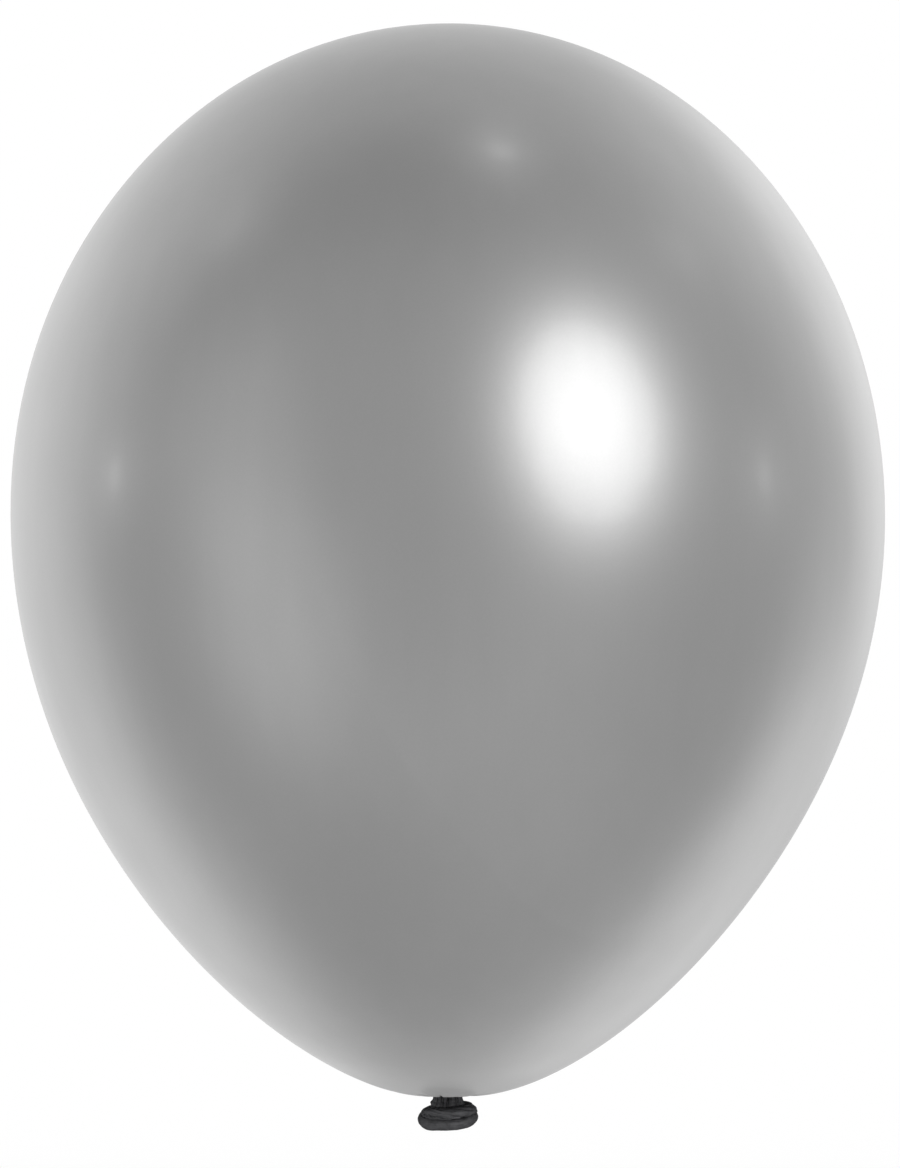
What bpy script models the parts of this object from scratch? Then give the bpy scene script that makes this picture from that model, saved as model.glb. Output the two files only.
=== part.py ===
# A tied latex party balloon, blown up round and tight.
#
# One latex skin makes the whole balloon. Tying it leaves five parts that look and feel different:
# the thin blown-up envelope, the gathered neck, the overhand knot, the short flared tail below the
# knot, and the rolled lip round the tail's mouth.
#
# The frame: +Z is up, -Y is the front, and z = 0 is the tie, the narrow groove in the neck between
# the envelope and the knot, where a ribbon or a stick holds the balloon.

from math import atan2, cos, hypot, pi, radians, sin, tan

import bmesh
import bpy
from mathutils import Vector
from mathutils.geometry import interpolate_bezier

MM = 0.001

# Envelope: a half ellipse above its widest circle, and a taper below it that rounds off at the rim.
WIDTH = 300 * MM
WIDEST_HEIGHT = 200 * MM
TOP_HEIGHT = 368.5 * MM
TAPER_PULL = 113.5 * MM
RIM_RADIUS = 8.0 * MM
RIM_HEIGHT = 0.6 * MM
RIM_PULL = 45 * MM
THROAT_RADIUS = 5.6 * MM
THROAT_HEIGHT = 2.2 * MM
DIMPLE_PULL = 1.1 * MM
WALL = 0.35 * MM
# A Bezier handle of this share of the semi-axis draws a quarter of an ellipse.
ELLIPSE_HANDLE = 0.5523

# Neck: the gathered skin that fills the throat and runs down into the knot.
CLEARANCE = 0.3 * MM
NECK_RADIUS = 5.15 * MM
NECK_WAIST_PULL = 0.5 * MM
NECK_BEVEL = 0.5 * MM
NECK_BOTTOM = -0.6 * MM
NECK_PLEATS = 14
NECK_PLEAT_DEPTH = 0.12 * MM

# Knot: a strand of gathered skin wound a turn and a bit round a core, whose shoulder spreads out of
# the neck. The strand starts low at the left and is thickest and lowest at the right and the front.
CORE_TOP_RADIUS = 5.0 * MM
CORE_SHOULDER_RADIUS = 6.0 * MM
CORE_SHOULDER_HEIGHT = -2.6 * MM
CORE_SHOULDER_FOOT = -3.6 * MM
CORE_RADIUS = 3.9 * MM
CORE_FOOT_RADIUS = 2.7 * MM
CORE_TAPER = 1.5 * MM
KNOT_TOP = NECK_BOTTOM - CLEARANCE
KNOT_BOTTOM = -6.0 * MM
WRAP_START = radians(125)
WRAP_ANGLE = radians(440)
WRAP_TUCK = radians(70)
WRAP_LOW = -4.7 * MM
WRAP_HIGH = -1.9 * MM
WRAP_RIGHT_DROP = 0.8 * MM
WRAP_FRONT_DROP = 1.0 * MM
WRAP_HALF_HEIGHT = 1.9 * MM
WRAP_HALF_DEPTH = 3.4 * MM
WRAP_THINNING = 1.0 * MM
WRAP_BULGE = 0.6 * MM
WRAP_SWELL = 0.3 * MM
WRAP_INNER_RADIUS = 3.0 * MM
WRAP_END_RADIUS = 1.8 * MM
WRAP_END_THICKNESS = 0.5

# Tail and lip: the mouth spreads out below the knot. It hangs lower at the front and at the left.
TAIL_TOP_RADIUS = 2.4 * MM
TAIL_TOP = KNOT_BOTTOM - CLEARANCE
TAIL_PULL = 1.2 * MM
TAIL_WALL = 0.7 * MM
TAIL_PLEATS = 9
TAIL_PLEAT_DEPTH = 0.35 * MM
LIP_RING_RADIUS = 8.2 * MM
LIP_ROLL_RADIUS = 2.2 * MM
LIP_HEIGHT = -7.15 * MM
FRONT_DROP = tan(radians(11))
RIGHT_LIFT = tan(radians(3))

# How finely the curves and the round shapes are divided.
DOME_POINTS = 14
TAPER_POINTS = 19
DIMPLE_POINTS = 5
NECK_POINTS = 7
TAIL_POINTS = 8
ENVELOPE_SEGMENTS = 56
NECK_SEGMENTS = NECK_PLEATS * 4
CORE_SEGMENTS = 32
TAIL_SEGMENTS = TAIL_PLEATS * 6
WRAP_RINGS = 44
WRAP_SIDES = 14
LIP_SEGMENTS = 48
LIP_SIDES = 14
MERGE_DISTANCE = 0.001 * MM

SILVER = (0.42, 0.42, 0.42, 1.0)
CHARCOAL = (0.09, 0.09, 0.09, 1.0)


def clear_scene():
    for old in list(bpy.data.objects):
        bpy.data.objects.remove(old)


def latex(name, colour, metallic, roughness):
    material = bpy.data.materials.new(name)
    material.use_nodes = True
    shader = material.node_tree.nodes["Principled BSDF"]
    shader.inputs["Base Color"].default_value = colour
    shader.inputs["Metallic"].default_value = metallic
    shader.inputs["Roughness"].default_value = roughness
    return material


def add_object(name, bm, material):
    bmesh.ops.recalc_face_normals(bm, faces=bm.faces)
    mesh = bpy.data.meshes.new(name)
    bm.to_mesh(mesh)
    bm.free()
    mesh.shade_smooth()
    mesh.set_sharp_from_angle(angle=radians(50))
    mesh.materials.append(material)
    thing = bpy.data.objects.new(name, mesh)
    bpy.context.scene.collection.objects.link(thing)
    return thing


def add_helper(name, bm):
    """A shape that only joins or cuts another one."""
    bmesh.ops.recalc_face_normals(bm, faces=bm.faces)
    mesh = bpy.data.meshes.new(name)
    bm.to_mesh(mesh)
    bm.free()
    helper = bpy.data.objects.new(name, mesh)
    helper.hide_render = True
    helper.display_type = "WIRE"
    bpy.context.scene.collection.objects.link(helper)
    return helper


def combine(thing, operation, helper):
    boolean = thing.modifiers.new(helper.name, "BOOLEAN")
    boolean.operation = operation
    boolean.solver = "EXACT"
    boolean.object = helper


def bezier(start, pull_start, pull_end, end, points):
    """Points of one span in the r-z plane, given as (radius, height) pairs."""
    corners = [Vector((r, z, 0)) for r, z in (start, pull_start, pull_end, end)]
    return [(p.x, p.y) for p in interpolate_bezier(*corners, points)]


def offset_inwards(outline, distance):
    """The outline of a shape, drawn down its outer side, moved into the shape."""
    moved = []
    for n, (r, z) in enumerate(outline):
        before, after = outline[max(n - 1, 0)], outline[min(n + 1, len(outline) - 1)]
        along = Vector((after[0] - before[0], after[1] - before[1])).normalized()
        moved.append((r + along.y * distance, z - along.x * distance))
    return moved


def turned(outline, segments):
    """A bmesh with the outline of (radius, height) points turned a full circle about Z."""
    bm = bmesh.new()
    points = [bm.verts.new((r, 0, z)) for r, z in outline]
    edges = [bm.edges.new(pair) for pair in zip(points, points[1:])]
    if outline[0][0] > 0:
        edges.append(bm.edges.new((points[-1], points[0])))
    bmesh.ops.spin(
        bm, geom=points + edges, axis=(0, 0, 1), cent=(0, 0, 0),
        angle=2 * pi, steps=segments, use_merge=True,
    )
    bmesh.ops.remove_doubles(bm, verts=bm.verts, dist=MERGE_DISTANCE)
    return bm


def pleat(bm, count, depth_at):
    """Gathers a turned shape into rounded pleats. depth_at gives their depth at a radius."""
    for vert in bm.verts:
        radius = hypot(vert.co.x, vert.co.y)
        if radius < CLEARANCE:
            continue
        angle = atan2(vert.co.y, vert.co.x)
        share = 1 + depth_at(radius) * cos(count * angle) / radius
        vert.co.x *= share
        vert.co.y *= share


def envelope_outline():
    """The envelope's outer side, from the top down to the throat."""
    widest = (WIDTH / 2, WIDEST_HEIGHT)
    rise = TOP_HEIGHT - WIDEST_HEIGHT
    rim = (RIM_RADIUS, RIM_HEIGHT)
    throat = (THROAT_RADIUS, THROAT_HEIGHT)
    dome = bezier(
        (0, TOP_HEIGHT),
        (ELLIPSE_HANDLE * WIDTH / 2, TOP_HEIGHT),
        (WIDTH / 2, WIDEST_HEIGHT + ELLIPSE_HANDLE * rise),
        widest,
        DOME_POINTS,
    )
    taper = bezier(
        widest,
        (WIDTH / 2, WIDEST_HEIGHT - TAPER_PULL),
        (RIM_RADIUS + RIM_PULL, RIM_HEIGHT),
        rim,
        TAPER_POINTS,
    )
    # The neck draws the skin up a little inside the rim, which leaves a dimple round it.
    dimple = bezier(
        rim,
        (RIM_RADIUS - DIMPLE_PULL, RIM_HEIGHT),
        (THROAT_RADIUS, THROAT_HEIGHT - DIMPLE_PULL),
        throat,
        DIMPLE_POINTS,
    )
    return dome + taper[1:] + dimple[1:]


def envelope(material):
    """The blown-up skin: a thin shell, open only at the throat."""
    outer = envelope_outline()
    inner = offset_inwards(outer, WALL)
    inner[0] = (0, TOP_HEIGHT - WALL)
    return add_object("envelope", turned(outer + inner[::-1], ENVELOPE_SEGMENTS), material)


def neck(material):
    """The gathered neck, which closes the throat and has a waist where a ribbon holds it."""
    top = THROAT_HEIGHT + CLEARANCE
    waist = NECK_RADIUS - NECK_WAIST_PULL
    outline = [(0, top), (NECK_RADIUS - NECK_BEVEL, top)]
    outline += bezier(
        (NECK_RADIUS, top - NECK_BEVEL),
        (waist, 0),
        (waist, 0),
        (NECK_RADIUS, NECK_BOTTOM),
        NECK_POINTS,
    )
    outline += [(0, NECK_BOTTOM)]
    bm = turned(outline, NECK_SEGMENTS)
    pleat(bm, NECK_PLEATS, lambda radius: NECK_PLEAT_DEPTH * radius / NECK_RADIUS)
    return add_object("neck", bm, material)


def wrap_ring(share):
    """One cross-section of the knot's strand, share of the way from its low end to its high end."""
    turn = share * WRAP_ANGLE
    angle = WRAP_START + turn
    to_end = min(turn, WRAP_ANGLE - turn) / WRAP_TUCK
    full = sin(min(to_end, 1) * pi / 2)
    thickness = WRAP_END_THICKNESS + (1 - WRAP_END_THICKNESS) * full
    half_height = (WRAP_HALF_HEIGHT + WRAP_SWELL * cos(angle)) * thickness
    half_depth = (WRAP_HALF_DEPTH + WRAP_BULGE * cos(angle) - WRAP_THINNING * share) * thickness
    # The strand lies against the core, and both its ends dive into it.
    reach = WRAP_END_RADIUS + (WRAP_INNER_RADIUS + half_depth - WRAP_END_RADIUS) * full
    height = WRAP_LOW + (WRAP_HIGH - WRAP_LOW) * share
    height -= (WRAP_RIGHT_DROP * (1 + cos(angle)) + WRAP_FRONT_DROP * (1 - sin(angle))) / 2
    ring = []
    for side in range(WRAP_SIDES):
        round_angle = 2 * pi * side / WRAP_SIDES
        radius = reach + half_depth * cos(round_angle)
        ring.append((
            radius * cos(angle),
            radius * sin(angle),
            height + half_height * sin(round_angle),
        ))
    return ring


def wrap_piece(name, first, last):
    """The strand between two of its rings, closed at both ends."""
    bm = bmesh.new()
    rings = [
        [bm.verts.new(point) for point in wrap_ring(n / WRAP_RINGS)]
        for n in range(first, last + 1)
    ]
    for ring, following in zip(rings, rings[1:]):
        for side in range(WRAP_SIDES):
            after = (side + 1) % WRAP_SIDES
            bm.faces.new((ring[side], following[side], following[after], ring[after]))
    bm.faces.new(rings[0])
    bm.faces.new(rings[-1][::-1])
    return add_helper(name, bm)


def knot(material):
    """The overhand knot: the core and the wound strand, pressed into one lump."""
    outline = [
        (0, KNOT_TOP),
        (CORE_TOP_RADIUS, KNOT_TOP),
        (CORE_SHOULDER_RADIUS, CORE_SHOULDER_HEIGHT),
        (CORE_SHOULDER_RADIUS, CORE_SHOULDER_FOOT),
        (CORE_RADIUS, KNOT_BOTTOM + CORE_TAPER),
        (CORE_FOOT_RADIUS, KNOT_BOTTOM),
        (0, KNOT_BOTTOM),
    ]
    lump = add_object("knot", turned(outline, CORE_SEGMENTS), material)
    middle = WRAP_RINGS // 2
    combine(lump, "UNION", wrap_piece("wrap_low_half", 0, middle))
    combine(lump, "UNION", wrap_piece("wrap_high_half", middle - 1, WRAP_RINGS))
    # The lip is pressed up against the knot, which gives way to it.
    combine(lump, "DIFFERENCE", add_helper("lip_seat", lip_ring(LIP_ROLL_RADIUS + CLEARANCE)))
    return lump


def hang(bm, share_at):
    """Lets the mouth hang lower at the front and the left. share_at gives how much, by radius."""
    for vert in bm.verts:
        share = share_at(hypot(vert.co.x, vert.co.y))
        vert.co.z += share * (vert.co.y * FRONT_DROP + vert.co.x * RIGHT_LIFT)


def tail(material):
    """The flared end of the neck, a shallow pleated funnel that opens downwards."""
    edge_radius = LIP_RING_RADIUS - LIP_ROLL_RADIUS - CLEARANCE
    spread = edge_radius - TAIL_TOP_RADIUS
    upper = bezier(
        (TAIL_TOP_RADIUS, TAIL_TOP),
        (TAIL_TOP_RADIUS, LIP_HEIGHT),
        (edge_radius - TAIL_PULL, LIP_HEIGHT),
        (edge_radius, LIP_HEIGHT),
        TAIL_POINTS,
    )
    lower = offset_inwards(upper, TAIL_WALL)[::-1]
    outline = [(0, TAIL_TOP)] + upper + lower + [(0, lower[-1][1])]
    bm = turned(outline, TAIL_SEGMENTS)

    def share_at(radius):
        return min(max((radius - TAIL_TOP_RADIUS) / spread, 0), 1)

    for vert in bm.verts:
        depth = TAIL_PLEAT_DEPTH * sin(pi * share_at(hypot(vert.co.x, vert.co.y)))
        vert.co.z += depth * cos(TAIL_PLEATS * atan2(vert.co.y, vert.co.x))
    hang(bm, share_at)
    return add_object("tail", bm, material)


def lip_ring(roll_radius):
    bm = bmesh.new()
    section = bmesh.ops.create_circle(bm, segments=LIP_SIDES, radius=roll_radius)["verts"]
    for vert in section:
        vert.co = Vector((LIP_RING_RADIUS + vert.co.x, 0, LIP_HEIGHT + vert.co.y))
    bmesh.ops.spin(
        bm, geom=bm.verts[:] + bm.edges[:], axis=(0, 0, 1), cent=(0, 0, 0),
        angle=2 * pi, steps=LIP_SEGMENTS, use_merge=True,
    )
    hang(bm, lambda radius: 1)
    return bm


def lip(material):
    """The rolled lip, a bead that the factory rolls up round the mouth."""
    return add_object("lip", lip_ring(LIP_ROLL_RADIUS), material)


def build():
    clear_scene()
    blown_up = latex("pearl_latex", SILVER, 0.9, 0.35)
    relaxed = latex("relaxed_latex", CHARCOAL, 0.2, 0.4)
    envelope(blown_up)
    neck(relaxed)
    knot(relaxed)
    tail(relaxed)
    lip(relaxed)


build()
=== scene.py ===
# %% [markdown]
# A silver latex balloon, blown up and tied
#
# One skin of latex makes the whole balloon. Blown up and tied, it has five parts: the taut envelope, the
# gathered neck, the overhand knot, the flared tail below it, and the rolled lip round the tail's mouth.
# The frame holds them as plain solids at their real size. Here each one gets its real surface, with its
# puckers, folds and creases in the mesh, and latex for its material.
#
# Everything is in metres. +Z is up, -Y is the front, and z = 0 is the tie, between envelope and knot.

from math import atan2, cos, hypot, pi, radians, sin, sqrt, tan

import bpy
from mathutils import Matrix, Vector, noise
from mathutils.geometry import interpolate_bezier


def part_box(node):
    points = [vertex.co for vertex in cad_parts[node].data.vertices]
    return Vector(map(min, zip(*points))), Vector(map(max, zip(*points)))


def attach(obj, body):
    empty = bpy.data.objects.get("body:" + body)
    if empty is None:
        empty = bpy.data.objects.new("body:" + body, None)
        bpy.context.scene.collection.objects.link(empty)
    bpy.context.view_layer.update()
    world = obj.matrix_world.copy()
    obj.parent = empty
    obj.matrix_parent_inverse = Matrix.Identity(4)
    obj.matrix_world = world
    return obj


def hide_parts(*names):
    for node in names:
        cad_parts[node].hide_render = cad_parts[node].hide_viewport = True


MM = 0.001

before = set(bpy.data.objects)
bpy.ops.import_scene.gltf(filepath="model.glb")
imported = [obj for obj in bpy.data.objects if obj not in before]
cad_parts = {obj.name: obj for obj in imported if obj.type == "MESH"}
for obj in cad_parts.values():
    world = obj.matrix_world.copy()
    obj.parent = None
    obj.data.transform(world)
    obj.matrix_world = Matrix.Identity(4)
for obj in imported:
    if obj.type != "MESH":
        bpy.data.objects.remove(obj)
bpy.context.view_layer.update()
envelope_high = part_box("envelope")[1]
WIDEST_RADIUS = envelope_high.x
CROWN_HEIGHT = envelope_high.z
print("the envelope is", 2 * WIDEST_RADIUS / MM, "mm wide and", CROWN_HEIGHT / MM, "mm high")

# %% [markdown]
# Colour and nodes
#
# The colours below are written as sRGB hex values, as a paint chart gives them, and one function turns
# them linear, which is what the shaders want. A second small function adds a node with its settings and
# its links, so that a material reads as a list of what it is made of.


# %% Colours and nodes
def linear(hex_code):
    """An sRGB hex colour, such as 8c8c8e, as the linear RGBA that the shaders take."""
    shades = [int(hex_code[n:n + 2], 16) / 255 for n in (0, 2, 4)]
    return [s / 12.92 if s <= 0.04045 else ((s + 0.055) / 1.055) ** 2.4 for s in shades] + [1]


def add_node(tree, kind, settings=(), links=()):
    """Adds a node. Settings set its properties or sockets, and links feed its sockets."""
    node = tree.nodes.new(kind)
    for key, value in dict(settings).items():
        if isinstance(key, str) and hasattr(node, key):
            setattr(node, key, value)
        else:
            node.inputs[key].default_value = value
    for key, output in dict(links).items():
        tree.links.new(output, node.inputs[key])
    return node


def pattern_scale(size):
    """The Scale of a noise whose spots are about this size, in metres."""
    return 1 / size


print("silver as linear light:", [round(c, 3) for c in linear("b0b0b2")])

# %% [markdown]
# The stretched latex
#
# The balloon was dipped: a former goes into liquid latex that is full of tiny mirror flakes, and the film
# dries on it. Blown up to four times its width, the film is so thin that the flakes lie flat in it like
# tiles, and the skin mirrors the room softly, as brushed metal does. That is a metal in the shader, with
# a roughness of about a third, under a thin clear coat, the rubber's own gloss. The film isn't quite
# even. It has clouds a few centimetres across, faint runs that point from the neck to the crown, where
# the liquid ran off the former, and the flakes' own fine grain. Where it is stretched less, at the neck
# and in a spot at the crown, the flakes crowd together and it is darker. Round the neck they also lie less
# flat, so the skin is satin there and mirrors nothing of the knot.

# %% Material: stretched pearl latex
SILVER = linear("b0b0b0")
SILVER_DEEP = linear("acacac")
SILVER_AT_NECK = linear("5c5c5d")
SILVER_AT_CROWN = linear("a2a2a3")
CLOUD_SIZE = 45 * MM
RUN_WIDTH = 9 * MM
RUN_LENGTH = 160 * MM
# A real flake is 0.02 mm across, too fine to show. The grain is drawn as coarse as a pixel sees it.
GRAIN_SIZE = 0.7 * MM
PEEL_SIZE = 2.5 * MM
PEEL_HEIGHT = 0.01 * MM
NECK_TONE = (5.5 * MM, 8.0 * MM)
NECK_SATIN = (9 * MM, 45 * MM)
ROUGHNESS_AT_NECK = 0.65
METAL_AT_NECK = 0.1
COAT = 0.3
CROWN_TONE = (4 * MM, 24 * MM)


def stretched_latex():
    material = bpy.data.materials.new("stretched pearl latex")
    material.use_nodes = True
    tree = material.node_tree
    shader = tree.nodes["Principled BSDF"]
    place = add_node(tree, "ShaderNodeTexCoord").outputs["Object"]

    clouds = add_node(
        tree, "ShaderNodeTexNoise",
        {"Scale": pattern_scale(CLOUD_SIZE), "Detail": 2}, {"Vector": place},
    )
    along = add_node(
        tree, "ShaderNodeMapping",
        {"Scale": (1, 1, RUN_WIDTH / RUN_LENGTH)}, {"Vector": place},
    )
    runs = add_node(
        tree, "ShaderNodeTexNoise",
        {"Scale": pattern_scale(RUN_WIDTH), "Detail": 1}, {"Vector": along.outputs[0]},
    )
    grain = add_node(
        tree, "ShaderNodeTexNoise",
        {"Scale": pattern_scale(GRAIN_SIZE), "Detail": 0}, {"Vector": place},
    )
    uneven = add_node(
        tree, "ShaderNodeMath", {"operation": "ADD"},
        {0: runs.outputs["Fac"], 1: grain.outputs["Fac"]},
    )
    uneven = add_node(
        tree, "ShaderNodeMath", {"operation": "MULTIPLY_ADD", 1: 0.5},
        {0: uneven.outputs[0], 2: clouds.outputs["Fac"]},
    )
    share = add_node(
        tree, "ShaderNodeMapRange", {"From Min": 0.65, "From Max": 1.35}, {"Value": uneven.outputs[0]},
    )
    silver = add_node(
        tree, "ShaderNodeMix", {"data_type": "RGBA", 6: SILVER_DEEP, 7: SILVER}, {0: share.outputs[0]},
    ).outputs[2]
    for centre, (near, far), crowded in (
        ((0, 0, 0), NECK_TONE, SILVER_AT_NECK),
        ((0, 0, CROWN_HEIGHT), CROWN_TONE, SILVER_AT_CROWN),
    ):
        distance = add_node(
            tree, "ShaderNodeVectorMath", {"operation": "DISTANCE", 1: centre}, {0: place},
        )
        spread = add_node(
            tree, "ShaderNodeMapRange",
            {"interpolation_type": "SMOOTHSTEP", "From Min": near, "From Max": far},
            {"Value": distance.outputs["Value"]},
        )
        silver = add_node(
            tree, "ShaderNodeMix", {"data_type": "RGBA", 6: crowded},
            {0: spread.outputs[0], 7: silver},
        ).outputs[2]
    tree.links.new(silver, shader.inputs["Base Color"])

    roughness = add_node(
        tree, "ShaderNodeMapRange", {"To Min": 0.35, "To Max": 0.33}, {"Value": share.outputs[0]},
    )
    from_neck = add_node(tree, "ShaderNodeVectorMath", {"operation": "LENGTH"}, {0: place})
    taut = add_node(
        tree, "ShaderNodeMapRange",
        {"interpolation_type": "SMOOTHSTEP", "From Min": NECK_SATIN[0], "From Max": NECK_SATIN[1]},
        {"Value": from_neck.outputs["Value"]},
    )
    roughness = add_node(
        tree, "ShaderNodeMix", {"data_type": "FLOAT", 2: ROUGHNESS_AT_NECK},
        {0: taut.outputs[0], 3: roughness.outputs[0]},
    )
    tree.links.new(roughness.outputs[0], shader.inputs["Roughness"])
    metal = add_node(
        tree, "ShaderNodeMapRange", {"To Min": METAL_AT_NECK, "To Max": 1}, {"Value": taut.outputs[0]},
    )
    tree.links.new(metal.outputs[0], shader.inputs["Metallic"])
    coat = add_node(tree, "ShaderNodeMath", {"operation": "MULTIPLY", 1: COAT}, {0: taut.outputs[0]})
    tree.links.new(coat.outputs[0], shader.inputs["Coat Weight"])
    peel = add_node(
        tree, "ShaderNodeTexNoise",
        {"Scale": pattern_scale(PEEL_SIZE), "Detail": 2}, {"Vector": place},
    )
    bump = add_node(
        tree, "ShaderNodeBump",
        {"Strength": 1, "Distance": PEEL_HEIGHT}, {"Height": peel.outputs["Fac"]},
    )
    tree.links.new(bump.outputs[0], shader.inputs["Normal"])
    shader.inputs["Coat Roughness"].default_value = 0.12
    return material


print("the flakes' grain is drawn", GRAIN_SIZE / MM, "mm across")

# %% [markdown]
# The gathered latex
#
# Below the throat nothing stretches the skin. The flakes stand crowded and at all angles in thick rubber,
# which swallows most of the light, so the same silver latex is charcoal grey. Light that meets it at a
# slant has still more rubber to cross, and the edges go nearly black: that is the metal's dark edge tint
# in the shader. Its gloss is satin and broken up by creases too fine to model, which show as streaks in
# the bump. A trace of the powder that keeps balloons from sticking lightens it in patches.

# %% Material: gathered pearl latex
CHARCOAL = linear("4f4f51")
CHARCOAL_POWDERED = linear("626264")
CHARCOAL_EDGE = linear("141415")
POWDER_SIZE = 1.6 * MM
CREASE_SIZE = 0.45 * MM
CREASE_HEIGHT = 0.05 * MM


def gathered_latex(name, stretch):
    """Stretch makes the fine creases that much longer along each axis."""
    material = bpy.data.materials.new(name)
    material.use_nodes = True
    tree = material.node_tree
    shader = tree.nodes["Principled BSDF"]
    place = add_node(tree, "ShaderNodeTexCoord").outputs["Object"]
    powder = add_node(
        tree, "ShaderNodeTexNoise",
        {"Scale": pattern_scale(POWDER_SIZE), "Detail": 3}, {"Vector": place},
    )
    share = add_node(
        tree, "ShaderNodeMapRange", {"From Min": 0.35, "From Max": 0.7}, {"Value": powder.outputs["Fac"]},
    )
    grey = add_node(
        tree, "ShaderNodeMix",
        {"data_type": "RGBA", 6: CHARCOAL, 7: CHARCOAL_POWDERED}, {0: share.outputs[0]},
    )
    tree.links.new(grey.outputs[2], shader.inputs["Base Color"])
    roughness = add_node(
        tree, "ShaderNodeMapRange", {"To Min": 0.45, "To Max": 0.6}, {"Value": share.outputs[0]},
    )
    tree.links.new(roughness.outputs[0], shader.inputs["Roughness"])
    along = add_node(
        tree, "ShaderNodeMapping", {"Scale": [1 / s for s in stretch]}, {"Vector": place},
    )
    creases = add_node(
        tree, "ShaderNodeTexNoise",
        {"Scale": pattern_scale(CREASE_SIZE), "Detail": 2}, {"Vector": along.outputs[0]},
    )
    bump = add_node(
        tree, "ShaderNodeBump",
        {"Strength": 1, "Distance": CREASE_HEIGHT}, {"Height": creases.outputs["Fac"]},
    )
    tree.links.new(bump.outputs[0], shader.inputs["Normal"])
    shader.inputs["Metallic"].default_value = 0.85
    shader.inputs["Specular Tint"].default_value = CHARCOAL_EDGE
    return material


print("creases are drawn", CREASE_SIZE / MM, "mm wide")

# %% [markdown]
# Tools for modelling by hand
#
# Each piece starts as a primitive and is shaped in edit mode. The operators act on whatever is selected,
# so everything is deselected before a primitive is added. A closed round piece is drawn as by hand, too:
# a filled circle is extruded ring by ring along an outline, and each new ring is scaled about the axis.
# The first circle and the last one stay as its ends, so the piece is closed from the start.


# %% Tools for modelling
MERGE_DISTANCE = 0.01 * MM
# Where two faces meet at less than this angle, the edge is shaded smooth.
SMOOTH_DEGREES = 60


def deselect_all():
    bpy.ops.object.select_all(action="DESELECT")


def open_piece(name):
    """Names the primitive that was just added and opens it in edit mode."""
    piece = bpy.context.object
    piece.name = name
    piece.data.name = name
    bpy.ops.object.mode_set(mode="EDIT")
    bpy.ops.mesh.select_all(action="SELECT")
    return piece


def close_shape(merge=False):
    """Ends edit mode with every face outwards, and merges doubles first where a spin has left them."""
    bpy.ops.mesh.select_all(action="SELECT")
    if merge:
        bpy.ops.mesh.remove_doubles(threshold=MERGE_DISTANCE)
    bpy.ops.mesh.normals_make_consistent(inside=False)
    bpy.ops.object.mode_set(mode="OBJECT")


def finish_piece(piece, node, material):
    """Gives a shaped piece its finish and its body, and hides the CAD part that it stands for."""
    bpy.ops.object.shade_smooth_by_angle(angle=radians(SMOOTH_DEGREES))
    piece.data.materials.clear()
    piece.data.materials.append(material)
    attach(piece, "root")
    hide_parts(node)
    corners = [Vector(map(limit, *(v.co for v in piece.data.vertices))) / MM for limit in (min, max)]
    reach = [f"{low:.1f} to {high:.1f}" for low, high in zip(*corners)]
    print(f"{piece.name}: {len(piece.data.polygons)} faces, x, y and z in mm:", ", ".join(reach))


def apply_modifier(piece, kind, **settings):
    modifier = piece.modifiers.new(kind.lower(), kind)
    for key, value in settings.items():
        setattr(modifier, key, value)
    bpy.ops.object.modifier_apply(modifier=modifier.name)


print("edges under", SMOOTH_DEGREES, "degrees are shaded smooth")

# %% Outlines, rings and round pieces
# A Bezier handle of this share of the radius draws a quarter of a circle, or of an ellipse.
ROUND_HANDLE = 0.5523


def bezier(start, pull_start, pull_end, end, points):
    """Points of one span of an outline, given as (radius, height) pairs."""
    corners = [Vector((r, z, 0)) for r, z in (start, pull_start, pull_end, end)]
    return [(p.x, p.y) for p in interpolate_bezier(*corners, points)]


def add_ring(radius, section_radius, height, steps, sides):
    """A plain round ring that lies flat round the axis."""
    deselect_all()
    bpy.ops.mesh.primitive_torus_add(
        location=(0, 0, height), major_segments=steps, minor_segments=sides,
        major_radius=radius, minor_radius=section_radius,
    )
    bpy.ops.object.transform_apply()
    return bpy.context.object


def turn_by_extruding(name, outline, segments):
    """A closed round piece: a filled circle, extruded ring by ring along the outline's points."""
    deselect_all()
    radius, height = outline[0]
    bpy.ops.mesh.primitive_circle_add(vertices=segments, radius=radius, fill_type="NGON")
    piece = open_piece(name)
    bpy.ops.transform.translate(value=(0, 0, height))
    for (radius, height), (next_radius, next_height) in zip(outline, outline[1:]):
        bpy.ops.mesh.extrude_region_move(
            TRANSFORM_OT_translate={"value": (0, 0, next_height - height)},
        )
        growth = next_radius / radius
        bpy.ops.transform.resize(value=(growth, growth, 1), center_override=(0, 0, 0))
    close_shape()
    return piece


quarter = bezier((1, 0), (1, ROUND_HANDLE), (ROUND_HANDLE, 1), (0, 1), 3)
print("the middle of a quarter circle:", [round(c, 3) for c in quarter[1]])

# %% Fades and creases
# Noise is zero along wandering lines, and each is the bottom of a crease. More makes it narrower.
CREASE_STEEPNESS = 3.2


def fade(distance, reach):
    """1 at no distance, and smoothly down to 0 at the reach."""
    share = min(max(distance / reach, 0), 1)
    return (1 - share) ** 2 * (1 + 2 * share)


def crease(angle, along, count, seed):
    """1 in the bottom of a crease and 0 on the ridges, for about count creases round a circle.
    Along, how far one has gone along the skin in crease widths, makes them wander."""
    spot = Vector((count / (2 * pi) * cos(angle), count / (2 * pi) * sin(angle), along + seed))
    return max(1 - CREASE_STEEPNESS * abs(noise.noise(spot)), 0)


print("creases at four places:", [round(crease(n, 0, 16, 1), 2) for n in range(4)])

# %% [markdown]
# The envelope
#
# Pressure pulls the skin into the roundest shape that it can take. Above the widest circle that is half
# an ellipsoid, and below it the skin runs in to the neck in one long curve. A lathe is the way to make
# it: half of its outline is drawn by extruding a single point, and spin turns it round. The top is at
# the first point and the throat at the last. Only then does it get a wall, inwards, so that its outside
# stays where the frame has it.

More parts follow.
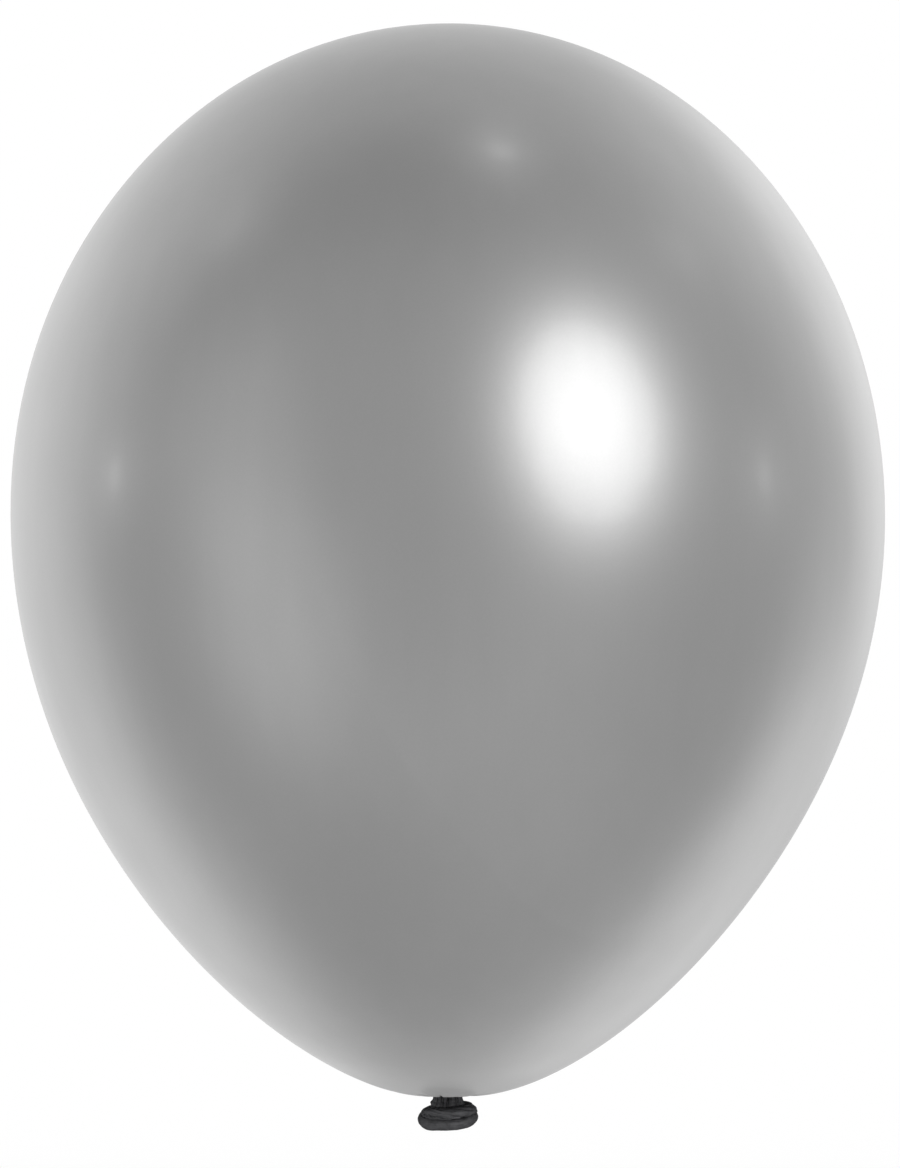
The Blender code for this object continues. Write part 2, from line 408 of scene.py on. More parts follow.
# %% The envelope's outline
WIDEST_HEIGHT = 200 * MM
TAPER_PULL = 113.5 * MM
RIM_RADIUS = 8 * MM
RIM_HEIGHT = 0.6 * MM
RIM_PULL = 45 * MM
THROAT_RADIUS = 5.6 * MM
THROAT_HEIGHT = 2.2 * MM
DIMPLE_PULL = 1.1 * MM
DOME_POINTS = 44
TAPER_POINTS = 76
DIMPLE_POINTS = 9


def envelope_outline():
    """From the crown down to the throat, as (radius, height) pairs."""
    rise = CROWN_HEIGHT - WIDEST_HEIGHT
    dome = bezier(
        (0, CROWN_HEIGHT),
        (ROUND_HANDLE * WIDEST_RADIUS, CROWN_HEIGHT),
        (WIDEST_RADIUS, WIDEST_HEIGHT + ROUND_HANDLE * rise),
        (WIDEST_RADIUS, WIDEST_HEIGHT),
        DOME_POINTS,
    )
    taper = bezier(
        (WIDEST_RADIUS, WIDEST_HEIGHT),
        (WIDEST_RADIUS, WIDEST_HEIGHT - TAPER_PULL),
        (RIM_RADIUS + RIM_PULL, RIM_HEIGHT),
        (RIM_RADIUS, RIM_HEIGHT),
        TAPER_POINTS,
    )
    dimple = bezier(
        (RIM_RADIUS, RIM_HEIGHT),
        (RIM_RADIUS - DIMPLE_PULL, RIM_HEIGHT),
        (THROAT_RADIUS, THROAT_HEIGHT - DIMPLE_PULL),
        (THROAT_RADIUS, THROAT_HEIGHT),
        DIMPLE_POINTS,
    )
    return dome + taper[1:] + dimple[1:]


outline = envelope_outline()
print("the outline has", len(outline), "points")

# %% Spin the envelope
ENVELOPE_SEGMENTS = 192

deselect_all()
bpy.ops.mesh.primitive_plane_add(size=MM)
envelope = open_piece("envelope_skin")
bpy.ops.mesh.merge(type="CENTER")
bpy.ops.transform.translate(value=(outline[0][0], 0, outline[0][1]))
for (r0, z0), (r1, z1) in zip(outline, outline[1:]):
    bpy.ops.mesh.extrude_region_move(TRANSFORM_OT_translate={"value": (r1 - r0, 0, z1 - z0)})
bpy.ops.mesh.select_all(action="SELECT")
bpy.ops.mesh.spin(steps=ENVELOPE_SEGMENTS, angle=2 * pi, center=(0, 0, 0), axis=(0, 0, 1))
close_shape(merge=True)
print("spun:", len(envelope.data.vertices), "points")

# %% [markdown]
# Puckers and a real balloon's unevenness
#
# Where the neck gathers the skin, small folds run out from it and fade within a couple of centimetres.
# They are moved into the mesh, point by point, because they bend its outline and catch the light from
# below. The neck is pleated by the same folds, so that the two join. Film that is nowhere quite equally
# thick also bulges a little more here and less there: only half a millimetre, but a mirror shows it.

# %% Pucker the envelope
PLEATS = 17
PLEAT_SEED = 4
PLEAT_DEPTH = 0.9 * MM
PLEAT_WANDER = 14 * MM
PUCKER_DEPTH = 1.0 * MM
PUCKER_REACH = 19 * MM
THROAT_REACH = 5 * MM
# The bulges fade out over this reach round the neck, where the puckers are.
BULGE_REACH = 4 * RIM_RADIUS
BULGE_SIZE = 110 * MM
BULGE_DEPTH = 0.5 * MM


def neck_crease(angle, along):
    """The creases of the gathered skin. Along is measured from the tie, up the neck and outwards."""
    return crease(angle, along / PLEAT_WANDER, PLEATS, PLEAT_SEED)


normals = [vertex.normal.copy() for vertex in envelope.data.vertices]
for vertex, normal in zip(envelope.data.vertices, normals):
    radius = hypot(vertex.co.x, vertex.co.y)
    near_neck = vertex.co.z < WIDEST_HEIGHT / 2
    taut = 1 - fade(radius, BULGE_REACH) if near_neck else 1
    move = BULGE_DEPTH * taut * noise.noise(vertex.co / BULGE_SIZE) * normal
    if near_neck:
        along = THROAT_HEIGHT + radius - THROAT_RADIUS
        depth = neck_crease(atan2(vertex.co.y, vertex.co.x), along)
        inwards = -Vector((vertex.co.x, vertex.co.y, 0)).normalized()
        move += depth * PLEAT_DEPTH * fade(radius - THROAT_RADIUS, THROAT_REACH) * inwards
        move.z += depth * PUCKER_DEPTH * fade(radius - THROAT_RADIUS, PUCKER_REACH)
    vertex.co += move
print("puckers reach", PUCKER_REACH / MM, "mm from the throat")

# %% Give the envelope its wall
WALL = 0.35 * MM

apply_modifier(envelope, "SOLIDIFY", thickness=WALL, offset=-1)
finish_piece(envelope, "envelope", stretched_latex())

# %% [markdown]
# The neck
#
# Above the knot the whole skin is gathered into a stem a centimetre thick, a bundle of pleats. At the
# top they open into the envelope's puckers, and at the bottom the knot clamps them. The stem is a filled
# circle, extruded down, with a waist in the middle where a ribbon would hold it. Its points are then
# drawn in along the same creases as the envelope's throat.

# %% Extrude and pleat the neck
NECK_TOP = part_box("neck")[1].z
KNOT_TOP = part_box("knot")[1].z
NECK_RADIUS = 5.3 * MM
NECK_WAIST_RADIUS = 4.9 * MM
NECK_POINTS = 18
NECK_SEGMENTS = 220
# How far the neck runs on inside the knot, which hides where it ends.
NECK_TUCK = 0.7 * MM

neck_outline = [(THROAT_RADIUS - WALL, NECK_TOP)]
neck_outline += bezier(
    (THROAT_RADIUS, THROAT_HEIGHT),
    (NECK_WAIST_RADIUS, THROAT_HEIGHT / 2),
    (NECK_WAIST_RADIUS, 0),
    (NECK_RADIUS, KNOT_TOP),
    NECK_POINTS,
)
neck_outline.append((NECK_RADIUS, KNOT_TOP - NECK_TUCK))
neck = turn_by_extruding("neck_skin", neck_outline, NECK_SEGMENTS)


def gather_neck(vertex):
    """Draws a point in towards the axis where a crease of the gathered skin runs."""
    depth = neck_crease(atan2(vertex.co.y, vertex.co.x), vertex.co.z)
    pull = 1 - depth * PLEAT_DEPTH / NECK_RADIUS
    vertex.co.x *= pull
    vertex.co.y *= pull


for vertex in neck.data.vertices:
    gather_neck(vertex)
finish_piece(neck, "neck", gathered_latex("gathered latex of the neck", (1, 1, 5)))

# %% [markdown]
# The knot
#
# An overhand knot in a balloon's neck is one strand of bunched skin wound once and a bit round itself.
# It starts low at the left, comes across the front, swells at the right and goes round the back, and
# tucks in at the top. The strand is a filled circle extruded along that path, with folds along its
# length. A stub of the neck is its core, and more of the skin comes out bunched below it. Rubber pressed
# together has no gaps, so a voxel remesh makes one skin of the three, and the lip leaves its print in
# the underside.

# %% Wind the knot's strand
STRAND_STEPS = 150
STRAND_SIDES = 72
# Angles go anticlockwise from +X, the right. Over the tuck's angle each end thins and bends in.
WRAP_START = radians(125)
WRAP_ANGLE = radians(440)
WRAP_TUCK = radians(70)
WRAP_LOW = -4.7 * MM
WRAP_HIGH = -1.9 * MM
WRAP_RIGHT_DROP = 0.8 * MM
WRAP_FRONT_DROP = 1.0 * MM
WRAP_HALF_HEIGHT = 2.2 * MM
WRAP_HALF_DEPTH = 3.6 * MM
WRAP_THINNING = 1.0 * MM
WRAP_BULGE = 0.6 * MM
WRAP_SWELL = 0.4 * MM
WRAP_INNER_RADIUS = 3.0 * MM
WRAP_END_RADIUS = 1.8 * MM
WRAP_END_THICKNESS = 0.5


def strand_at(share):
    """The strand's angle, reach, height, half depth and half height, share of the way along it."""
    travelled = share * WRAP_ANGLE
    angle = WRAP_START + travelled
    full = sin(min(travelled / WRAP_TUCK, (WRAP_ANGLE - travelled) / WRAP_TUCK, 1) * pi / 2)
    thickness = WRAP_END_THICKNESS + (1 - WRAP_END_THICKNESS) * full
    half_height = (WRAP_HALF_HEIGHT + WRAP_SWELL * cos(angle)) * thickness
    half_depth = (WRAP_HALF_DEPTH + WRAP_BULGE * cos(angle) - WRAP_THINNING * share) * thickness
    reach = WRAP_END_RADIUS + (WRAP_INNER_RADIUS + half_depth - WRAP_END_RADIUS) * full
    height = WRAP_LOW + (WRAP_HIGH - WRAP_LOW) * share
    height -= (WRAP_RIGHT_DROP * (1 + cos(angle)) + WRAP_FRONT_DROP * (1 - sin(angle))) / 2
    return angle, reach, height, half_depth, half_height


def turn_about_axis(angle):
    """Turns the selection anticlockwise about Z. With no window the operator turns the other way."""
    bpy.ops.transform.rotate(value=-angle, orient_axis="Z", center_override=(0, 0, 0))


def strand_centre(angle, reach, height):
    return Vector((reach * cos(angle), reach * sin(angle), height))


deselect_all()
bpy.ops.mesh.primitive_circle_add(
    vertices=STRAND_SIDES, radius=1, fill_type="NGON", rotation=(pi / 2, 0, 0),
)
bpy.ops.object.transform_apply()
angle, reach, height, half_depth, half_height = strand_at(0)
knot = open_piece("knot_skin")
bpy.ops.transform.resize(value=(half_depth, 1, half_height), center_override=(0, 0, 0))
bpy.ops.transform.translate(value=(reach, 0, height))
turn_about_axis(angle)
for step in range(1, STRAND_STEPS + 1):
    last_angle, last_reach, last_height, last_depth, last_half = (
        angle, reach, height, half_depth, half_height,
    )
    angle, reach, height, half_depth, half_height = strand_at(step / STRAND_STEPS)
    bpy.ops.mesh.extrude_region_move()
    turn_about_axis(angle - last_angle)
    centre = strand_centre(angle, reach, height)
    bpy.ops.transform.translate(value=centre - strand_centre(angle, last_reach, last_height))
    growth = half_depth / last_depth
    bpy.ops.transform.resize(
        value=(growth, growth, half_height / last_half), center_override=centre,
    )
close_shape()
print("the strand has", len(knot.data.vertices) // STRAND_SIDES, "rings of", STRAND_SIDES)

# %% Fold the strand lengthwise
STRAND_FOLDS = 9
STRAND_FOLD_DEPTH = 0.45 * MM
STRAND_FOLD_TWIST = radians(420)
STRAND_FOLD_WANDER = 4
STRAND_FOLD_SEED = 11

for number, vertex in enumerate(knot.data.vertices):
    share = number // STRAND_SIDES / STRAND_STEPS
    angle, reach, height, half_depth, half_height = strand_at(share)
    centre = strand_centre(angle, reach, height)
    across = hypot(vertex.co.x, vertex.co.y) - reach
    round_strand = atan2((vertex.co.z - height) / half_height, across / half_depth)
    depth = crease(
        round_strand + share * STRAND_FOLD_TWIST,
        share * STRAND_FOLD_WANDER,
        STRAND_FOLDS,
        STRAND_FOLD_SEED,
    )
    vertex.co += (centre - vertex.co) * depth * STRAND_FOLD_DEPTH / half_depth
print("folds are up to", STRAND_FOLD_DEPTH / MM, "mm deep")

# %% Extrude the knot's core
CORE_OVERLAP = 0.4 * MM
CORE_TOP_RADIUS = 4.9 * MM
CORE_SHOULDER_RADIUS = 6.2 * MM
# How far below the knot's top the core bends into its shoulder, leaves it, and is slim again.
CORE_BEND = 1.7 * MM
CORE_SHOULDER_FOOT = 1.6 * CORE_BEND
CORE_WAIST = 2.2 * CORE_BEND
CORE_RADIUS = 3.9 * MM
CORE_FOOT_RADIUS = 2.7 * MM
CORE_TAPER = 1.5 * MM
CORE_FOOT = -6.1 * MM
CORE_POINTS = 10

core_outline = bezier(
    (CORE_TOP_RADIUS, KNOT_TOP + CORE_OVERLAP),
    (NECK_RADIUS, KNOT_TOP - CORE_OVERLAP),
    (CORE_SHOULDER_RADIUS, KNOT_TOP - CORE_BEND),
    (CORE_SHOULDER_RADIUS, KNOT_TOP - CORE_SHOULDER_FOOT),
    CORE_POINTS,
)
core_outline += [
    (CORE_RADIUS, KNOT_TOP - CORE_WAIST),
    (CORE_RADIUS, CORE_FOOT + CORE_TAPER),
    (CORE_FOOT_RADIUS, CORE_FOOT),
]
core = turn_by_extruding("knot_core", core_outline, NECK_SEGMENTS)
for vertex in core.data.vertices:
    gather_neck(vertex)
print("the core has", len(core.data.vertices), "points")

# %% [markdown]
# The bunched skin under the knot
#
# Under the strand the skin comes out again, bunched, and runs out to the lip. It fills most of the groove
# between the two. It is a ring with folds across it. The mouth hangs lower at the front and at the left,
# so the ring is made flat first and every point is then let down by how far front and left it lies. The
# lip and the tail are hung the same way.

# %% Bunch the skin
BUNCH_RING_RADIUS = 8.0 * MM
BUNCH_RADIUS = 1.55 * MM
BUNCH_HEIGHT = -5.5 * MM
BUNCH_STEPS = 240
BUNCH_SIDES = 32
BUNCH_FOLDS = 20
BUNCH_FOLD_DEPTH = 0.3 * MM
BUNCH_FOLD_SEED = 31
# The folds slant by this much from the middle of the ring's section to its top.
BUNCH_TWIST = radians(14)
FRONT_DROP = tan(radians(11))
RIGHT_LIFT = tan(radians(3))


def hang(vertex, share=1):
    """Lowers a point at the front or the left, and raises it at the back or the right."""
    vertex.co.z += share * (vertex.co.y * FRONT_DROP + vertex.co.x * RIGHT_LIFT)


bunch = add_ring(BUNCH_RING_RADIUS, BUNCH_RADIUS, BUNCH_HEIGHT, BUNCH_STEPS, BUNCH_SIDES)
for vertex in bunch.data.vertices:
    outwards = Vector((vertex.co.x, vertex.co.y, 0)).normalized()
    centre = outwards * BUNCH_RING_RADIUS + Vector((0, 0, BUNCH_HEIGHT))
    twist = (vertex.co.z - BUNCH_HEIGHT) / BUNCH_RADIUS * BUNCH_TWIST
    depth = crease(atan2(vertex.co.y, vertex.co.x) + twist, 0, BUNCH_FOLDS, BUNCH_FOLD_SEED)
    vertex.co += (centre - vertex.co) * depth * BUNCH_FOLD_DEPTH / BUNCH_RADIUS
    hang(vertex)
print("the bunched skin has", BUNCH_FOLDS, "folds or so")

# %% Make one skin of the knot
KNOT_VOXEL = 0.16 * MM

deselect_all()
for piece in (core, bunch, knot):
    piece.select_set(True)
bpy.context.view_layer.objects.active = knot
bpy.ops.object.join()
apply_modifier(knot, "REMESH", mode="VOXEL", voxel_size=KNOT_VOXEL)
print("one skin of", len(knot.data.polygons), "faces")

# %% [markdown]
# The lip's ring
#
# The rolled lip is a ring too. Its own shape comes later, but the knot sits on it and takes its print,
# so a plain ring of the same size is cut out of the knot first.

# %% Print the lip into the knot
LIP_RING_RADIUS = 8.2 * MM
LIP_ROLL_RADIUS = 2.2 * MM
LIP_HEIGHT = -7.15 * MM
LIP_PRESS = 0.05 * MM
PRINT_STEPS = 120
PRINT_SIDES = 48
SKIN_VOXEL = 0.12 * MM
SMOOTH_SHARE = 0.5
SMOOTH_ROUNDS = 4

lip_print = add_ring(
    LIP_RING_RADIUS, LIP_ROLL_RADIUS - LIP_PRESS, LIP_HEIGHT, PRINT_STEPS, PRINT_SIDES,
)
for vertex in lip_print.data.vertices:
    hang(vertex)
deselect_all()
knot.select_set(True)
bpy.context.view_layer.objects.active = knot
apply_modifier(knot, "BOOLEAN", operation="DIFFERENCE", solver="EXACT", object=lip_print)
bpy.data.objects.remove(lip_print)
apply_modifier(knot, "REMESH", mode="VOXEL", voxel_size=SKIN_VOXEL)
apply_modifier(knot, "SMOOTH", factor=SMOOTH_SHARE, iterations=SMOOTH_ROUNDS)
print("after the print:", len(knot.data.polygons), "faces")

# %% Wrinkle the knot
WRINKLE_LENGTH = 5 * MM
WRINKLE_WIDTH = 0.8 * MM
WRINKLE_DEPTH = 0.16 * MM
# A wrinkle lies where the noise is nearer to zero than this, and so reaches that share of its depth.
WRINKLE_EDGE = 0.4

normals = [vertex.normal.copy() for vertex in knot.data.vertices]
for vertex, normal in zip(knot.data.vertices, normals):
    radius = hypot(vertex.co.x, vertex.co.y)
    along = atan2(vertex.co.y, vertex.co.x) * radius / WRINKLE_LENGTH
    spot = Vector((along, radius / WRINKLE_WIDTH, vertex.co.z / WRINKLE_WIDTH - along))
    vertex.co -= normal * WRINKLE_DEPTH * max(WRINKLE_EDGE - abs(noise.noise(spot)), 0)
finish_piece(knot, "knot", gathered_latex("gathered latex of the knot", (3, 3, 1)))

# %% [markdown]
# The tail
#
# Below the knot the neck's end spreads out again, like a short skirt. Seen from below it is a shallow
# funnel whose pleats run together where the knot pinches them shut. It is a disc extruded outwards along
# the funnel's underside and back in along its top, and its points are then lifted and lowered into
# pleats.

# %% Extrude and pleat the tail
TAIL_TOP_RADIUS = 2.6 * MM
TAIL_PIT_RADIUS = 0.25 * MM
TAIL_PIT_HEIGHT = -5.9 * MM
# The tail's edge stops this share of the roll's radius short of the middle of the lip.
TAIL_STOP = 0.7
TAIL_WALL = 0.5 * MM
TAIL_PLEATS = 13
TAIL_PLEAT_SEED = 21
TAIL_PLEAT_DEPTH = 1.0 * MM
UNDERSIDE_POINTS = 22
TOP_POINTS = 18
TAIL_SEGMENTS = 180

tail_edge = LIP_RING_RADIUS - LIP_ROLL_RADIUS * TAIL_STOP
underside = bezier(
    (TAIL_PIT_RADIUS, TAIL_PIT_HEIGHT),
    (TAIL_TOP_RADIUS / 2, TAIL_PIT_HEIGHT),
    (TAIL_TOP_RADIUS, LIP_HEIGHT - TAIL_WALL),
    (tail_edge, LIP_HEIGHT - TAIL_WALL),
    UNDERSIDE_POINTS,
)
top = bezier(
    (tail_edge, LIP_HEIGHT),
    (TAIL_TOP_RADIUS, LIP_HEIGHT),
    (TAIL_TOP_RADIUS, CORE_FOOT - TAIL_WALL),
    (TAIL_TOP_RADIUS, CORE_FOOT + TAIL_WALL),
    TOP_POINTS,
)
tail = turn_by_extruding("tail_skin", underside + top, TAIL_SEGMENTS)
for vertex in tail.data.vertices:
    radius = hypot(vertex.co.x, vertex.co.y)
    share = min(max((radius - TAIL_PIT_RADIUS) / (tail_edge - TAIL_PIT_RADIUS), 0), 1)
    angle = atan2(vertex.co.y, vertex.co.x)
    depth = crease(angle, radius / PLEAT_WANDER, TAIL_PLEATS, TAIL_PLEAT_SEED)
    vertex.co.z += depth * TAIL_PLEAT_DEPTH * sin(pi * share)
    hang(vertex, share)
finish_piece(tail, "tail", gathered_latex("gathered latex of the tail", (1, 1, 1)))

# %% [markdown]
# The rolled lip
#
# At the factory brushes roll the wet film's edge up on itself into a bead, which makes the mouth strong
# enough to stretch over a nozzle. The bead is a round section spun round the axis. Its section isn't
# quite a circle: the roll ends in a groove on the inside, and a few faint lines show the turns below.
# Slack rubber doesn't hold a perfect ring either, so it wavers in thickness, reach and height.

# %% Spin the lip
LIP_SIDES = 60
LIP_STEPS = 200
ROLL_SEAM = radians(150)
ROLL_SEAM_WIDTH = radians(16)
ROLL_SEAM_DEPTH = 0.5 * MM
ROLL_LINES = [radians(degrees) for degrees in (205, 262, 318, 15, 62)]
ROLL_LINE_WIDTH = radians(9)
ROLL_LINE_DEPTH = 0.10 * MM

deselect_all()
bpy.ops.mesh.primitive_circle_add(
    vertices=LIP_SIDES, radius=LIP_ROLL_RADIUS, rotation=(pi / 2, 0, 0),
    location=(LIP_RING_RADIUS, 0, LIP_HEIGHT),
)
bpy.ops.object.transform_apply()
lip = open_piece("lip_skin")
bpy.ops.mesh.spin(steps=LIP_STEPS, angle=2 * pi, center=(0, 0, 0), axis=(0, 0, 1))
close_shape(merge=True)
print("spun:", len(lip.data.vertices), "points")

# %% Dent the roll and let it waver
# With more waves, a waver changes quicker on its way round the ring. The twist is in radians.
ROLL_TWIST = 0.5
ROLL_TWIST_WAVES = 1.6
THICKNESS_WAVER = 0.12
THICKNESS_WAVES = 1.87
RING_WAVER = 0.35 * MM
HEIGHT_WAVER = 0.45 * MM
RING_WAVES = 1.1
LIP_WRINKLE = 0.05 * MM
LIP_WRINKLE_WAVES = 9


def waver(outwards, waves, seed):
    """Smooth noise between -1 and 1 round the ring."""
    return noise.noise(outwards * waves + Vector((0, 0, seed)))


def roll_dent(section_angle):
    """How deep the section is dented at an angle: 0 points outwards and 90 degrees up."""
    dent = 0
    for line, width, depth in [(ROLL_SEAM, ROLL_SEAM_WIDTH, ROLL_SEAM_DEPTH)] + [
        (line, ROLL_LINE_WIDTH, ROLL_LINE_DEPTH) for line in ROLL_LINES
    ]:
        away = abs((section_angle - line + pi) % (2 * pi) - pi)
        dent += depth * fade(away, width)
    return dent


for vertex in lip.data.vertices:
    outwards = Vector((vertex.co.x, vertex.co.y, 0)).normalized()
    centre = outwards * LIP_RING_RADIUS + Vector((0, 0, LIP_HEIGHT))
    from_centre = vertex.co - centre
    section_angle = atan2(from_centre.z, from_centre.dot(outwards))
    section_angle += ROLL_TWIST * waver(outwards, ROLL_TWIST_WAVES, seed=3)
    thickness = 1 + THICKNESS_WAVER * waver(outwards, THICKNESS_WAVES, seed=9)
    wrinkle = noise.noise(outwards * LIP_WRINKLE_WAVES + from_centre / LIP_ROLL_RADIUS)
    size = LIP_ROLL_RADIUS * thickness - roll_dent(section_angle) + LIP_WRINKLE * wrinkle
    vertex.co = centre + from_centre.normalized() * size
    vertex.co += outwards * RING_WAVER * waver(outwards, RING_WAVES, seed=5)
    vertex.co.z += HEIGHT_WAVER * waver(outwards, RING_WAVES, seed=7)
    hang(vertex)
finish_piece(lip, "lip", gathered_latex("gathered latex of the lip", (2, 2, 1)))

# %% [markdown]
# The camera
#
# The picture is taken from the front with a long lens, level with the middle of the balloon, so that
# nothing of its shape is stretched. The frame is 900 x 1168 pixels and 400 mm high at the balloon.

# %% Camera
PIXEL = 0.3429 * MM
PICTURE_WIDTH, PICTURE_HEIGHT = 900, 1168
AXIS_COLUMN, TIE_ROW = 447.8, 1098
CAMERA_DISTANCE = 2.5
SENSOR = 36
# The outline that a near camera sees of a ball is a little larger than the ball.
OUTLINE_GROWTH = 1.0018

camera_data = bpy.data.cameras.new("camera")
camera_data.sensor_width = SENSOR
camera_data.lens = SENSOR * CAMERA_DISTANCE / (PICTURE_HEIGHT * PIXEL) / OUTLINE_GROWTH
camera = bpy.data.objects.new("camera", camera_data)
camera.location = (
    (PICTURE_WIDTH / 2 - AXIS_COLUMN) * PIXEL,
    -CAMERA_DISTANCE,
    (TIE_ROW - PICTURE_HEIGHT / 2) * PIXEL,
)
camera.rotation_euler = (pi / 2, 0, 0)
bpy.context.scene.collection.objects.link(camera)
bpy.context.scene.camera = camera
bpy.context.scene.view_settings.view_transform = "Standard"
print("lens:", round(camera_data.lens, 1), "mm")

# %% [markdown]
# The studio
#
# A mirror shows the room, so the room is most of what a silver balloon looks like. This one is a plain
# light studio: even walls, a brighter backdrop with its lamps behind the balloon, which whitens its rims,
# one oval softbox at the front right, which makes the highlight, and two weak strips of light at the
# left. Five small lamps show as faint spots, and a few dim places darken the crown and the left side.
# The walls and the weak lights are painted on the world in every direction, in soft patches. The softbox
# is an area light, because it stands near and its light falls off.

# %% The room's own light
WALLS = 0.615
# What it is, where it is (azimuth and elevation), how far out it is even and by where it is gone, in
# degrees, how bright it is beside the walls, and how many times taller than wide it is.
ROOM_LIGHTS = (
    ("backdrop", (180, 10), 60, 90, 0.20, 1.15),
    ("its lamp at the left", (-145, -9), 5, 46, 0.28, 1),
    ("its low lamp at the left", (-118, -36), 5, 30, 0.18, 1),
    ("its low lamp at the right", (141, -34), 5, 32, 0.35, 1),
    ("its high lamp at the right", (150, 12), 5, 27, 0.44, 1),
    ("its highest lamp at the right", (133, 32), 5, 26, 0.14, 1),
    ("its weak lamp at the right", (122, -16), 0, 22, 0.10, 1),
    ("its high lamp at the left", (-124, 24), 5, 36, 0.09, 1),
    ("upper strip light", (-59, 14), 0, 24, 0.20, 1.3),
    ("lower strip light", (-49, -19), 0, 27, 0.36, 1.2),
    ("dim corner of the ceiling", (-120, 80), 5, 50, -0.14, 1),
    ("softbox on the floor", (27, -40), 5, 43, 0.10, 1),
    ("pale floor in front", (-25, -43), 0, 20, 0.10, 1),
    ("pale floor behind", (128, -62), 0, 24, 0.09, 1),
    ("dim gap at the left", (-95, -28), 0, 16, -0.07, 1),
    ("dim gap above the strip lights", (-76, 32), 0, 20, -0.07, 1),
    ("ceiling light", (80, 80), 1, 4, 3.4, 1),
    ("lamp at the left", (-97.5, 5), 1, 3, 3.6, 1),
    ("lamp at the right", (91, 6), 1, 3, 3.4, 1),
    ("high lamp at the right", (92, 42), 2, 6, 0.5, 1),
    ("high lamp at the left", (-95, 48), 2, 8, 0.4, 1),
)


def towards(azimuth, elevation):
    """The direction of something seen from the balloon: azimuth 0 is the camera, and 90 is +X."""
    a, e = radians(azimuth), radians(elevation)
    return Vector((sin(a) * cos(e), -cos(a) * cos(e), sin(e)))


world = bpy.data.worlds.new("studio")
world.use_nodes = True
bpy.context.scene.world = world
tree = world.node_tree
direction = add_node(tree, "ShaderNodeTexCoord").outputs["Generated"]
# Each patch of light is added to those before it, and the first one to the walls.
light = None
for name, centre, even, gone, brightness, height in ROOM_LIGHTS:
    squash = Vector((1, 1, 1 / height))
    drawn_out = add_node(
        tree, "ShaderNodeVectorMath", {"operation": "MULTIPLY", 1: squash}, {0: direction},
    )
    unit = add_node(tree, "ShaderNodeVectorMath", {"operation": "NORMALIZE"}, {0: drawn_out.outputs[0]})
    facing = add_node(
        tree, "ShaderNodeVectorMath",
        {"operation": "DOT_PRODUCT", 1: (towards(*centre) * squash).normalized()}, {0: unit.outputs[0]},
    )
    patch = add_node(
        tree, "ShaderNodeMapRange",
        {
            "label": name, "interpolation_type": "SMOOTHSTEP", "To Max": brightness,
            "From Min": cos(radians(gone)), "From Max": cos(radians(even)),
        },
        {"Value": facing.outputs["Value"]},
    )
    total = add_node(tree, "ShaderNodeMath", {"operation": "ADD", 1: WALLS}, {0: patch.outputs[0]})
    if light:
        tree.links.new(light, total.inputs[1])
    light = total.outputs[0]
# The camera itself sees plain white behind the balloon.
seen = add_node(tree, "ShaderNodeLightPath").outputs["Is Camera Ray"]
strength = add_node(
    tree, "ShaderNodeMix", {"data_type": "FLOAT", 3: 1}, {0: seen, 2: light},
)
background = tree.nodes["Background"]
background.inputs["Color"].default_value = (1, 1, 1, 1)
tree.links.new(strength.outputs[0], background.inputs["Strength"])
print("the room has", len(ROOM_LIGHTS), "soft lights")

# %% The softbox
HIGHLIGHT_COLUMN, HIGHLIGHT_ROW = 588, 418
SOFTBOX_DIRECTION = (38.3, 17.9)
SOFTBOX_DISTANCE = 1.5
SOFTBOX_WIDTH = 1.03
SOFTBOX_LENGTH = 1.15
SOFTBOX_POWER = 7.4

x = (HIGHLIGHT_COLUMN - AXIS_COLUMN) * PIXEL
z = (TIE_ROW - HIGHLIGHT_ROW) * PIXEL
# The dome is half an ellipsoid, which gives its radius at any height.
radius = WIDEST_RADIUS * sqrt(1 - ((z - WIDEST_HEIGHT) / (CROWN_HEIGHT - WIDEST_HEIGHT)) ** 2)
highlight = Vector((x, -sqrt(radius ** 2 - x ** 2), z))
softbox_data = bpy.data.lights.new("softbox", "AREA")
softbox_data.shape = "ELLIPSE"
softbox_data.size = SOFTBOX_WIDTH
softbox_data.size_y = SOFTBOX_LENGTH
softbox_data.energy = SOFTBOX_POWER
softbox = bpy.data.objects.new("softbox", softbox_data)
softbox.location = highlight + towards(*SOFTBOX_DIRECTION) * SOFTBOX_DISTANCE
softbox.rotation_euler = towards(*SOFTBOX_DIRECTION).to_track_quat("Z", "Y").to_euler()
softbox.visible_camera = False
bpy.context.scene.collection.objects.link(softbox)
print("the softbox stands at", [round(c, 2) for c in softbox.location])

# %% [markdown]
# The floor
#
# The balloon hangs half a metre above a plain pale floor, a round sheet of studio paper. It fades out
# towards its edge, so that no line shows where it ends. A sheet has no underside to model, and its
# material is clear where the back of it is seen, so that the balloon can be looked at from below.

# %% Floor
FLOOR_HEIGHT = -0.55
FLOOR_RADIUS = 6
FLOOR_RING = FLOOR_RADIUS / 3
FLOOR_SEGMENTS = 128
FLOOR_CURL = 0.15

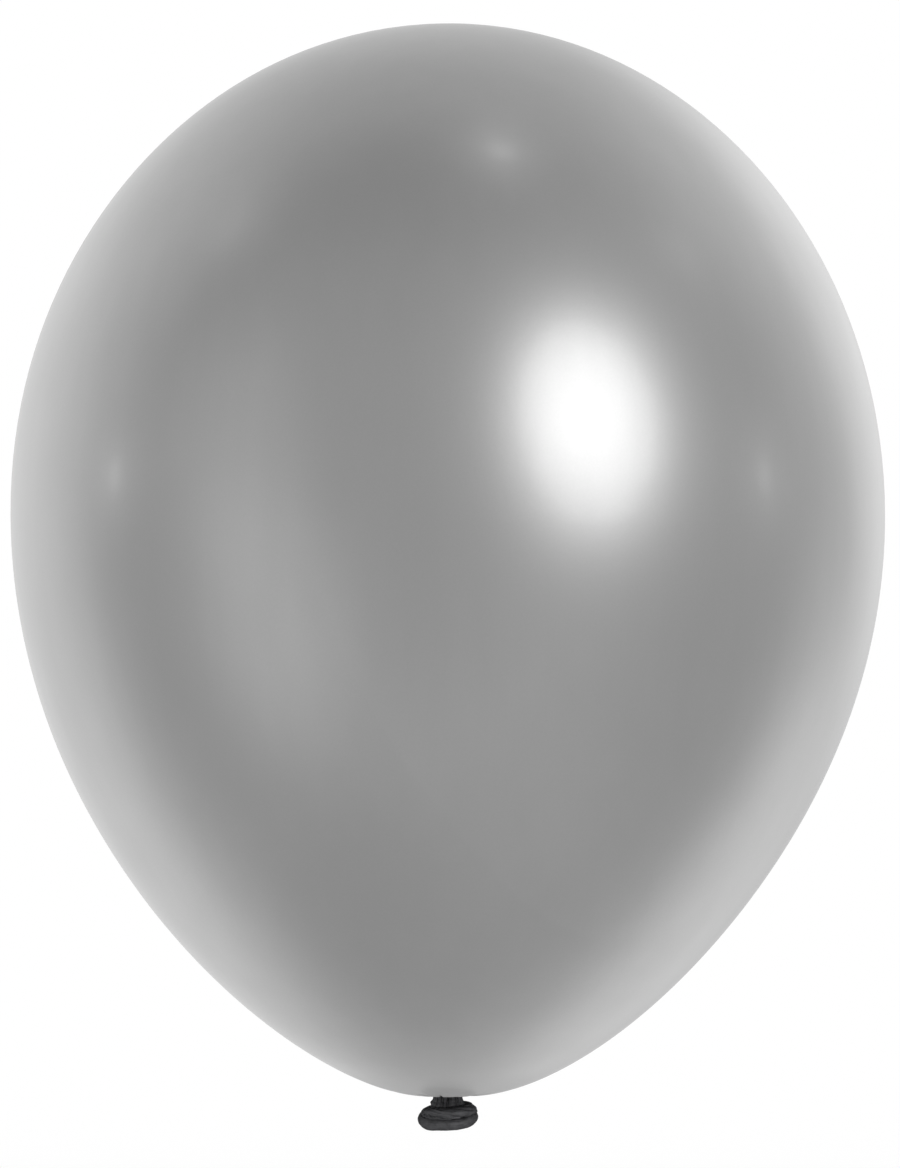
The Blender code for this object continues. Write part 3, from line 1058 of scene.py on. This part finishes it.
deselect_all()
bpy.ops.mesh.primitive_circle_add(
    vertices=FLOOR_SEGMENTS, radius=FLOOR_RADIUS, fill_type="NGON", location=(0, 0, FLOOR_HEIGHT),
)
bpy.ops.object.transform_apply()
floor = open_piece("floor")
bpy.ops.mesh.inset(thickness=FLOOR_RING)
bpy.ops.mesh.inset(thickness=FLOOR_RING)
bpy.ops.object.mode_set(mode="OBJECT")
for vertex in floor.data.vertices:
    if hypot(vertex.co.x, vertex.co.y) > FLOOR_RADIUS - FLOOR_RING / 2:
        vertex.co.z += FLOOR_CURL
# The room's patches stand for what the balloon mirrors, so the floor stays out of its reflections.
floor.visible_glossy = False
print("the floor is", 2 * FLOOR_RADIUS, "m wide")

# %% Material: pale studio paper
PAPER = linear("f4f4f4")
PAPER_ROUGHNESS = 0.8
# A faint glow keeps the paper pale where the balloon's shadow falls.
PAPER_GLOW = 0.2
# Just inside its edge the paper has faded out.
PAPER_END = 0.97 * FLOOR_RADIUS

paper = bpy.data.materials.new("pale studio paper")
paper.use_nodes = True
tree = paper.node_tree
shader = tree.nodes["Principled BSDF"]
shader.inputs["Base Color"].default_value = PAPER
shader.inputs["Roughness"].default_value = PAPER_ROUGHNESS
shader.inputs["Emission Color"].default_value = (1, 1, 1, 1)
shader.inputs["Emission Strength"].default_value = PAPER_GLOW
place = add_node(tree, "ShaderNodeTexCoord").outputs["Object"]
away = add_node(tree, "ShaderNodeVectorMath", {"operation": "LENGTH"}, {0: place})
faded = add_node(
    tree, "ShaderNodeMapRange",
    {
        "interpolation_type": "SMOOTHSTEP",
        "From Min": FLOOR_RING, "From Max": PAPER_END, "To Min": 1, "To Max": 0,
    },
    {"Value": away.outputs["Value"]},
)
back = add_node(tree, "ShaderNodeNewGeometry").outputs["Backfacing"]
alpha = add_node(
    tree, "ShaderNodeMix", {"data_type": "FLOAT", 3: 0}, {0: back, 2: faded.outputs[0]},
)
tree.links.new(alpha.outputs[0], shader.inputs["Alpha"])
floor.data.materials.append(paper)
print("the paper fades out", PAPER_END, "m from the middle")
